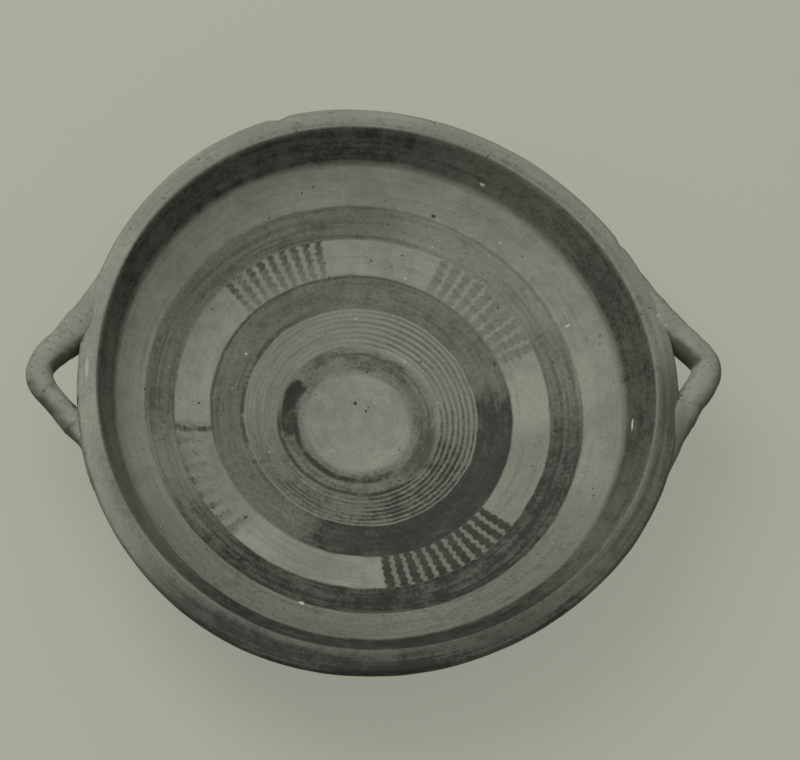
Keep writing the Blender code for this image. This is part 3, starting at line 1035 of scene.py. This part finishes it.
def wavy_strokes(ground, radius, turn, group, worn):
    """One group of strokes from the inner band out to the outer band, wavy along both edges."""
    sheet = ground.sheet
    first, last, count, width, coverage, wear, inner_share, film = group
    step = (last - first) / (count - 1)
    place = sheet.times(sheet.minus(turn, (first - step / 2.0) / FULL_TURN), FULL_TURN / step)
    loose = sheet.swing(ground.middle, 1.0)
    phase = sheet.plus(sheet.times(radius, 2.0 * math.pi / WAVE_LENGTH), sheet.times(place, WAVE_SKEW))
    wave = sheet.math("SINE", sheet.plus(phase, sheet.times(loose, WAVE_LOOSE)))
    uneven = sheet.mixed((loose, wave), (STROKE_WANDER, WAVE_SHARE))
    wandering = sheet.plus(place, uneven)
    ragged = sheet.swing(ground.fine, STROKE_RAGGED)
    across = sheet.plus(sheet.math("FRACT", wandering), ragged)
    stroke = ring_share(sheet, across, 0.5 - width / 2.0, 0.5 + width / 2.0, STROKE_SOFT)
    begun = sheet.ramp(place, 0.0, GROUP_END_SOFT)
    inside = sheet.times(begun, sheet.ramp(place, count, count - GROUP_END_SOFT))
    fade = sheet.ramp(radius, PANEL[0], PANEL[1], inner_share, 1.0)
    left_on = sheet.ramp(worn, wear - STROKE_WEAR_SOFT, wear + STROKE_WEAR_SOFT)
    strength = sheet.times(left_on, sheet.times(fade, coverage))
    return sheet.times(inside, sheet.larger(sheet.times(stroke, strength), film))


def kept_stroke(ground, brushed, turn, worn):
    """The one stroke of the faded group that still stands dark, thickest at its inner end."""
    sheet = ground.sheet
    wave = sheet.math("SINE", sheet.times(brushed, math.pi / WAVE_LENGTH))
    bent = sheet.mixed((turn, wave), (FULL_TURN, KEPT_STROKE_WAVE))
    bent = sheet.plus(bent, sheet.swing(ground.fine, KEPT_STROKE_RAGGED))
    line = ring_share(sheet, bent, *KEPT_STROKE, KEPT_STROKE_SOFT)
    zone = ring_share(sheet, brushed, *KEPT_STROKE_RUN, KEPT_STROKE_END_SOFT)
    return sheet.times(sheet.times(line, zone), sheet.ramp(worn, *KEPT_STROKE_RANGE))


def small_mark(ground, radius, turn, mark):
    """One oval mark on the inside of the bowl, with a ragged edge."""
    sheet = ground.sheet
    degrees, distance, half_length, half_width = mark
    along = sheet.times(sheet.minus(turn, degrees / FULL_TURN), 2.0 * math.pi * distance / half_length)
    across = sheet.times(sheet.minus(radius, distance), 1.0 / half_width)
    away = sheet.length(sheet.together(along, across, 0.0))
    ragged = sheet.swing(ground.grain, MARK_RAGGED)
    return sheet.ramp(sheet.plus(away, ragged), *MARK_EDGE_RANGE)


def bowl_material():
    """Clay of the bowl with the worn bands, lines and strokes painted on its inside."""
    material, sheet, shader = clay_material("painted bowl clay")
    ground = ClayGround(sheet)
    radius = sheet.attribute("turned_radius")
    run = sheet.attribute("section_run")
    over_lip = sheet.minus(run, inner_run())
    compass = sheet.apart(ground.compass)
    turn = sheet.math("ARCTAN2", compass[1], compass[0])
    turn = sheet.math("FRACT", sheet.plus(sheet.times(turn, 0.5 / math.pi), 1.0))
    inside = sheet.ramp(over_lip, INSIDE_SOFT, -INSIDE_SOFT)
    # Brush streaks run round the bowl and change quickly across it
    streak = brushing(sheet, compass, run, STREAK_ROUND, STREAK_ACROSS, STREAK_NOISE)
    slow = brushing(sheet, compass, run, SLOW_ROUND, SLOW_ACROSS, SLOW_NOISE)
    wheeled = sheet.plus(radius, sheet.swing(slow, BRUSH_WANDER))
    brushed = sheet.plus(wheeled, sheet.swing(ground.middle, BRUSH_RAGGED))
    # Scuffs of several sizes let the clay through
    worn = sheet.mixed((ground.middle, streak, ground.fine, ground.broad), WEAR_WEIGHTS)
    layers, blot = tondo_paint(ground, brushed, wheeled, worn)
    layers += band_paint(ground, brushed, worn, streak)
    panel = ring_share(sheet, brushed, *PANEL, PANEL_SOFT)
    for group in STROKE_GROUPS:
        layers.append(sheet.times(wavy_strokes(ground, radius, turn, group, worn), panel))
    layers.append(kept_stroke(ground, brushed, turn, worn))
    inner_paint = sheet.times(sheet.larger(*layers), inside)
    lip, dark_edge = lip_paint(ground, over_lip, worn, streak)
    paint = sheet.larger(inner_paint, lip)
    clay = sheet.colours(sheet.ramp(streak, *WHEEL_RANGE), ground.bare_clay(), CLAY_STAIN)
    # The dark outer edge of the lip, partly painted shade, takes the darker slip colour
    thick = sheet.larger(sheet.ramp(worn, *SLIP_RANGE), blot, dark_edge)
    slip = sheet.colours(thick, SLIP_THIN, SLIP_DARK)
    colour = sheet.colours(paint, clay, slip)
    specks = sheet.larger(*[small_mark(ground, radius, turn, mark) for mark in DARK_MARKS])
    specks = sheet.times(sheet.times(specks, inside), DARK_MARK_SHARE)
    colour = sheet.colours(specks, colour, SLIP_DARK)
    chalky = sheet.larger(*[small_mark(ground, radius, turn, mark) for mark in CHALK_MARKS])
    chalky = sheet.times(sheet.times(chalky, inside), CHALK_MARK_SHARE)
    smear = sheet.times(small_mark(ground, radius, turn, LIP_SMEAR), sheet.ramp(over_lip, *LIP_SMEAR_END))
    chalky = sheet.larger(chalky, sheet.times(smear, LIP_SMEAR_SHARE))
    sheet.feed(shader.inputs["Base Color"], sheet.colours(chalky, colour, CHALK))
    height = sheet.mixed((streak, paint), (STREAK_RELIEF, PAINT_RELIEF))
    roughness = sheet.minus(CLAY_ROUGHNESS, sheet.times(paint, PAINT_POLISH))
    ground.surface(shader, height, roughness)
    return material


def inner_run():
    """Length of the section from the middle of the floor to the lip's inner edge."""
    points = [inner_point(LIP_INNER_RADIUS * step / INNER_STEPS) for step in range(INNER_STEPS + 1)]
    return sum((far - near).length for near, far in zip(points, points[1:]))


def brushing(sheet, compass, run, round_scale, across_scale, noise):
    """Noise drawn out round the bowl: its scales are those round the axis and along the section."""
    spot = sheet.together(
        sheet.times(compass[0], round_scale),
        sheet.times(compass[1], round_scale),
        sheet.times(run, across_scale),
    )
    return sheet.noise(spot, *noise)


def ring_mark(ground, radius, worn, mark):
    """One worn stretch of paint in a ring."""
    sheet = ground.sheet
    degrees, half_width, fade, inner, outer, soft, coverage = mark
    strip = ring_share(sheet, radius, inner, outer, soft)
    share = sheet.times(ground.sector(degrees, half_width, fade), sheet.ramp(worn, *TONDO_MARK_RANGE))
    return sheet.math("MINIMUM", sheet.times(sheet.times(strip, share), coverage), 1.0)


def tondo_paint(ground, brushed, wheeled, worn):
    """Worn ring and fine lines round the middle of the floor: returns the layers and the blot."""
    sheet = ground.sheet
    fade = sheet.ramp(brushed, LINE_DRIFT_END, LINE_DRIFT_END - LINE_DRIFT_FADE)
    pull = sheet.dot(ground.compass, compass_vector(LINE_DRIFT_ANGLE))
    drift = sheet.times(sheet.times(pull, fade), LINE_DRIFT)
    radius = sheet.minus(brushed, drift)
    ring = ring_share(sheet, radius, *TONDO_RING, TONDO_SOFT)
    blot = ring_mark(ground, radius, worn, TONDO_BLOT)
    layers = [sheet.times(ring, sheet.ramp(worn, *TONDO_RANGE)), blot]
    layers += [ring_mark(ground, radius, worn, mark) for mark in TONDO_MARKS]
    line_radius = sheet.minus(wheeled, drift)
    phase = sheet.times(sheet.minus(line_radius, FINE_LINES[0]), 2.0 * math.pi / FINE_LINE_PITCH)
    line = sheet.ramp(sheet.math("COSINE", phase), *FINE_LINE_RANGE)
    zone = ring_share(sheet, brushed, *FINE_LINES, FINE_LINE_SOFT)
    clear = sheet.ramp(ground.sector(*CLEAR_LINES_SECTOR), *CLEAR_LINES_RANGE)
    left_on = sheet.mixed((ground.broad, worn), FIRST_HEAVIER)
    faint = sheet.times(sheet.ramp(left_on, *FINE_LINE_WEAR_RANGE), clear)
    wash = ground.in_sectors(LINE_WASH, LINE_WASH_SECTORS)
    wash = sheet.times(wash, sheet.ramp(worn, *LINE_WASH_RANGE))
    layers.append(sheet.times(zone, sheet.plus(sheet.times(line, faint), wash)))
    return layers, blot


def band_paint(ground, brushed, worn, streak):
    """The two broad bands round the panel, the dark band below the lip and what lies between."""
    sheet = ground.sheet
    scuffed = sheet.ramp(worn, *SCUFF_RANGE)
    inner = ring_share(sheet, brushed, *INNER_BAND, BAND_SOFT)
    coverage = ground.in_sectors(sheet.plus(INNER_BAND_SHARE, scuffed), INNER_BAND_SECTORS)
    layers = [sheet.times(inner, coverage)]
    for near_edge, far_edge, degrees, half_width in BAND_EDGES:
        line = ring_share(sheet, brushed, near_edge, far_edge, BAND_SOFT)
        gain = sheet.times(ground.patch(degrees, half_width), BAND_EDGE_GAIN)
        share = sheet.times(sheet.plus(BAND_EDGE_LEAST, gain), sheet.ramp(worn, *BAND_EDGE_RANGE))
        layers.append(sheet.times(line, share))
    outer = ring_share(sheet, brushed, *OUTER_BAND, BAND_SOFT)
    coverage = ground.in_sectors(sheet.plus(OUTER_BAND_SHARE, scuffed), OUTER_BAND_SECTORS)
    coverage = sheet.plus(coverage, sheet.swing(streak, OUTER_BAND_STREAK))
    layers.append(sheet.times(outer, sheet.larger(coverage, OUTER_BAND_LEAST)))
    outline = ring_share(sheet, brushed, *OUTLINE, OUTLINE_SOFT)
    layers.append(sheet.times(outline, sheet.times(ground.sector(*OUTLINE_SECTOR), OUTLINE_SHARE)))
    rise = sheet.ramp(brushed, *RIM_BAND_EDGE)
    coverage = sheet.plus(RIM_BAND_SHARE, sheet.times(scuffed, RIM_BAND_SCUFF))
    coverage = ground.in_sectors(coverage, RIM_BAND_SECTORS)
    layers.append(sheet.times(rise, sheet.math("MINIMUM", coverage, 1.0)))
    wash = sheet.times(ground.sector(*WASH_SECTOR), sheet.ramp(worn, *WASH_RANGE))
    layers.append(sheet.times(wash, ring_share(sheet, brushed, *PALE_ZONE, BAND_SOFT)))
    film = sheet.times(ground.sector(*FILM_SECTOR), sheet.ramp(worn, *FILM_RANGE))
    layers.append(sheet.times(film, ring_share(sheet, brushed, *PANEL, BAND_SOFT)))
    smudge = sheet.times(ground.patch(SMUDGE_ANGLE, SMUDGE_HALF_WIDTH), SMUDGE_SHARE)
    layers.append(sheet.times(smudge, ring_share(sheet, brushed, *SMUDGE_RING, SMUDGE_SOFT)))
    return layers


def lip_paint(ground, over_lip, worn, streak):
    """Remains of slip on the lip, thickest towards the front and outside, and painted shade in the corners
    by the handles: returns them and the dark outer edge, which is slip and painted shade where the lip's
    outer slope turns from the light."""
    sheet = ground.sheet
    front_lip = sheet.times(ring_share(sheet, over_lip, *LIP_OVER_STRIP), ground.sector(*LIP_OVER_SECTOR))
    whole_lip = sheet.larger(ring_share(sheet, over_lip, *LIP_STRIP), front_lip)
    outer_part = sheet.ramp(over_lip, *LIP_OUTER_RANGE)
    right = sheet.times(ground.sector(*LIP_RIGHT_SECTOR), LIP_RIGHT_SHARE)
    front = sheet.larger(ground.sector(*LIP_FRONT_SECTOR), right)
    uneven = sheet.plus(worn, sheet.swing(ground.broad, LIP_BROAD))
    uneven = sheet.plus(uneven, sheet.swing(streak, LIP_STREAK))
    patches = sheet.ramp(uneven, *LIP_PATCH_RANGE)
    painted = sheet.times(sheet.times(whole_lip, front), sheet.times(outer_part, patches))
    # Less film where the lip faces the light: partly clean clay, partly painted light
    clean_and_lit = sheet.ramp(ground.sector(*LIP_CLEAN_AND_LIT_SECTOR), *LIP_CLEAN_AND_LIT_RANGE)
    inner_part = sheet.ramp(over_lip, *LIP_INNER_RANGE)
    film = sheet.times(sheet.ramp(worn, *LIP_FILM_RANGE), sheet.times(clean_and_lit, inner_part))
    mottled = sheet.mixed((ground.fine, ground.middle), LIP_MOTTLE_WEIGHTS)
    by_side = sheet.ramp(ground.sector(*LIP_MOTTLE_SECTOR), *LIP_MOTTLE_SECTOR_RANGE)
    mottled = sheet.times(sheet.ramp(mottled, *LIP_MOTTLE_RANGE), by_side)
    film = sheet.times(whole_lip, sheet.larger(film, mottled))
    edge = ring_share(sheet, over_lip, *LIP_EDGE_STRIP)
    edge = sheet.times(edge, sheet.ramp(uneven, *LIP_EDGE_RANGE))
    # Dark outer edge at the front: slip, and painted shade where the outer slope turns from the light
    dark_edge = ring_share(sheet, over_lip, *LIP_DARK_STRIP)
    dark_edge = sheet.times(dark_edge, ground.sector(*LIP_DARK_SECTOR))
    dark_edge = sheet.times(dark_edge, sheet.ramp(uneven, *LIP_DARK_RANGE))
    return sheet.larger(painted, edge, dark_edge, film, ground.crevice_shade()), dark_edge


def handle_material():
    """Rolled clay with painted shade and some slip along its shaded side, and painted shade with dark
    cracks in the corners.
    """
    material, sheet, shader = clay_material("rolled handle clay")
    ground = ClayGround(sheet)
    front_side = sheet.attribute("front_side")
    inner_side = sheet.attribute("inner_side")
    worn = sheet.mixed((ground.middle, ground.broad), FIRST_HEAVIER)
    # Painted shade on the side of each coil turned from the light: the front, and on the right handle its
    # own angle too
    shaded = sheet.plus(front_side, sheet.swing(worn, HANDLE_STRIP_RAGGED))
    shaded = sheet.ramp(shaded, *HANDLE_STRIP_RANGE)
    # The painted shade climbs higher inside the loop
    climb = sheet.times(sheet.larger(inner_side, 0.0), HANDLE_LOOP_CLIMB)
    low = sheet.ramp(sheet.minus(ground.height, climb), *HANDLE_STRIP_HEIGHTS)
    strip = sheet.times(sheet.times(shaded, low), HANDLE_STRIP_SHARE)
    rubbed = sheet.ramp(worn, *HANDLE_RUB_RANGE)
    mottled = sheet.mixed((ground.middle, ground.fine), EVEN_WEIGHTS)
    mottled = sheet.ramp(mottled, *HANDLE_MOTTLE_RANGE)
    by_rim = sheet.ramp(ground.reach, *FROM_LIP_RANGE)
    from_lip = sheet.times(sheet.times(by_rim, ground.sector(*FROM_LIP_SECTOR)), FROM_LIP_SHARE)
    paint = sheet.larger(strip, rubbed, mottled, from_lip, ground.crevice_shade())
    sheet.feed(shader.inputs["Base Color"], sheet.colours(paint, ground.bare_clay(), SLIP_THIN))
    roughness = sheet.minus(CLAY_ROUGHNESS, sheet.times(paint, HANDLE_POLISH))
    ground.surface(shader, sheet.times(ground.middle, HANDLE_RELIEF), roughness)
    return material


def foot_material():
    """Plain clay of the foot ring, dull and rubbed where it stands."""
    material, sheet, shader = clay_material("foot ring clay")
    ground = ClayGround(sheet)
    tread = sheet.ramp(ground.height, *TREAD_RANGE)
    rubbed = sheet.times(tread, sheet.ramp(ground.fine, *TREAD_RUB_RANGE))
    sheet.feed(shader.inputs["Base Color"], sheet.colours(rubbed, ground.bare_clay(), CLAY_LIGHT))
    roughness = sheet.minus(FOOT_ROUGHNESS, sheet.times(rubbed, FOOT_POLISH))
    ground.surface(shader, sheet.times(ground.middle, FOOT_RELIEF), roughness)
    return material


def floor_material():
    """Pale floor that keeps the bowl's shadow, lightened where the camera sees it."""
    material, sheet, shader = clay_material("pale floor")
    place = sheet.add("ShaderNodeTexCoord").outputs["Object"]
    cloud = sheet.noise(place, *FLOOR_NOISE)
    shade = tuple(FLOOR_SHADE * part for part in FLOOR_PALE[:3]) + (1.0,)
    sheet.feed(shader.inputs["Base Color"], sheet.colours(cloud, shade, FLOOR_PALE))
    shader.inputs["Roughness"].default_value = FLOOR_ROUGHNESS
    glow = sheet.add("ShaderNodeEmission", FLOOR_PALE, 1.0)
    rays = sheet.add("ShaderNodeLightPath").outputs
    seen = sheet.larger(
        rays["Is Camera Ray"],
        rays["Is Glossy Ray"],
        rays["Is Transmission Ray"],
    )
    mixed = sheet.add("ShaderNodeMixShader", sheet.times(seen, FLOOR_GLOW))
    sheet.feed(mixed.inputs[1], shader.outputs[0])
    sheet.feed(mixed.inputs[2], glow.outputs[0])
    sheet.feed(material.node_tree.nodes["Material Output"].inputs["Surface"], mixed.outputs[0])
    return material


# Pieces

def make_bowl_and_foot():
    tree, identifiers = turned_tree()
    common = {
        "Steps around": AROUND_STEPS,
        "Axis": AXIS_X,
        "Rim radius": RIM_RADIUS,
        "Warp start": WARP_START_RADIUS,
        "Warp growth": WARP_GROWTH,
        "Lean": LEAN_SHIFT,
        "Oval": OVAL_SHIFT,
        "Triangle": TRIANGLE_SHIFT,
        "Ridge pitch": THROWING_PITCH,
        "Rim wobble": RIM_WOBBLE,
    }
    for node, outline, ridge, seed, clay in (
        ("bowl", bowl_outline(), THROWING_RIDGE, BOWL_SEED, bowl_material()),
        ("foot_ring", foot_outline(), FOOT_RIDGE, FOOT_SEED, foot_material()),
    ):
        section = section_object(node + "_section", outline)
        settings = dict(common)
        settings["Section"] = section
        settings["Rows"] = len(outline)
        settings["Ridge height"] = ridge
        settings["Seed"] = seed
        settings["Material"] = clay
        keep(grown(node + "_clay", tree, identifiers, settings, section), node)


def make_handles():
    tree, identifiers = coil_tree()
    common = {
        "Lump height": COIL_LUMP,
        "Lump scale": COIL_LUMP_SCALE,
        "Material": handle_material(),
    }
    for side, angle in HANDLE_ANGLES.items():
        coil = coil_path(side)
        rolls = [("handle_coil_" + side, "handle_" + side, coil, COIL_STEPS, COIL_SIDES, COIL_TALL)]
        for root in (-1.0, 1.0):
            where = side + ("_back" if handle_point(angle, root).y > 0.0 else "_front")
            smear = luting_path(side, root)
            rolls.append(
                ("luting_clay_" + where, "luting_" + where, smear, LUTING_STEPS, LUTING_SIDES, LUTING_TALL)
            )
        for name, node, points, steps, sides, tallness in rolls:
            path = path_object(name + "_path", points)
            settings = dict(common)
            settings["Path"] = path
            settings["Steps"] = steps
            settings["Sides"] = sides
            settings["Tallness"] = tallness
            settings["Seed"] = HANDLE_SEEDS[side]
            keep(grown(name, tree, identifiers, settings, path), node)


def keep(piece, node):
    """Closes the mesh, turns its faces outwards and lets the piece stand for its node."""
    bm = bmesh.new()
    bm.from_mesh(piece.data)
    bmesh.ops.remove_doubles(bm, verts=bm.verts[:], dist=WELD_DISTANCE)
    bmesh.ops.recalc_face_normals(bm, faces=bm.faces[:])
    bm.to_mesh(piece.data)
    bm.free()
    piece.data.shade_smooth()
    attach(piece, "root")
    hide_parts(node)


# Floor, light and camera

def make_floor():
    half = FLOOR_SIZE / 2.0
    mesh = bpy.data.meshes.new("floor")
    corners = [(x, y, FLOOR_LEVEL) for x, y in ((-half, -half), (half, -half), (half, half), (-half, half))]
    mesh.from_pydata(corners, [], [(0, 1, 2, 3)])
    mesh.materials.append(floor_material())
    linked("floor", mesh)


def make_light():
    for name, place, size, power in LIGHTS:
        lamp = bpy.data.lights.new(name, "AREA")
        lamp.shape = "DISK"
        lamp.size = size
        lamp.energy = power
        light = linked(name, lamp)
        light.location = place
        aim = Vector((AXIS_X, 0.0, LIGHT_AIM_HEIGHT)) - Vector(place)
        light.rotation_euler = aim.to_track_quat("-Z", "Y").to_euler()
    world = bpy.data.worlds.new("studio")
    world.use_nodes = True
    background = world.node_tree.nodes["Background"]
    background.inputs["Color"].default_value = SKY_COLOUR
    background.inputs["Strength"].default_value = SKY_STRENGTH
    bpy.context.scene.world = world


def make_camera():
    """Camera above and in front of the bowl, turned as the picture shows its axis leaning."""
    back = Vector(CAMERA_BACK).normalized()
    up = back.cross(Vector(CAMERA_RIGHT).normalized()).normalized()
    right = up.cross(back)
    turn = Matrix((right, up, back)).transposed()
    camera = linked("camera", bpy.data.cameras.new("camera"))
    camera.data.lens = CAMERA_LENS
    camera.data.sensor_width = SENSOR_WIDTH
    camera.data.sensor_fit = "HORIZONTAL"
    camera.data.clip_start = CAMERA_CLIP
    camera.location = Vector(CAMERA_PLACE) + Vector((AXIS_X, 0.0, 0.0))
    camera.rotation_euler = turn.to_euler()
    bpy.context.scene.camera = camera


make_bowl_and_foot()
make_handles()
make_floor()
make_light()
make_camera()
bpy.context.scene.view_settings.view_transform = "Standard"
